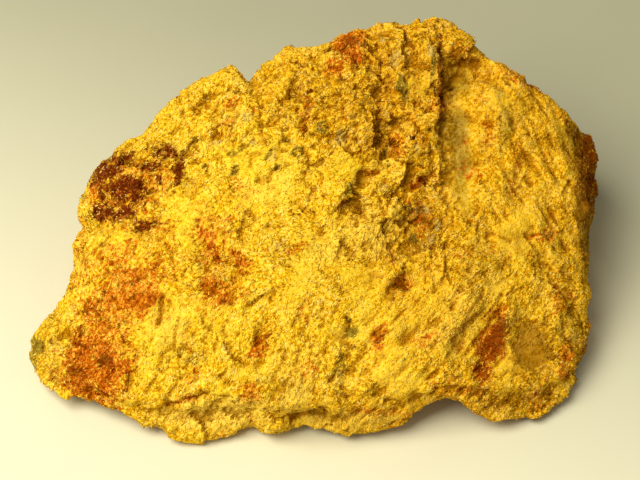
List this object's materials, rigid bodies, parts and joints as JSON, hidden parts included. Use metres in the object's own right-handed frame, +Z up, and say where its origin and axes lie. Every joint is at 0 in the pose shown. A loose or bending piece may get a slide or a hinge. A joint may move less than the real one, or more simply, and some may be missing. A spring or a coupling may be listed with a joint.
{
  "type": "plumbojarosite mineral specimen",
  "caption": "Loose lump of earthy yellow mineral crust with a stepped, ridged broad face, a ledge at its foot and a broken back; lies on flat feet as a display specimen.",
  "frame": {"origin": "middle of the bounding box of the lump in plan, in the plane that its feet stand on", "axes": "+X along the length of the lump to its blunt end, +Y from the foot of the broad face to the broken back, +Z up"},
  "size_m": [0.0922, 0.066, 0.0371],
  "materials": {
    "yellow_crust": "dull, earthy and granular"
  },
  "bodies": {
    "root": {"plumbojarosite_lump": "yellow_crust"}
  },
  "joints": []
}
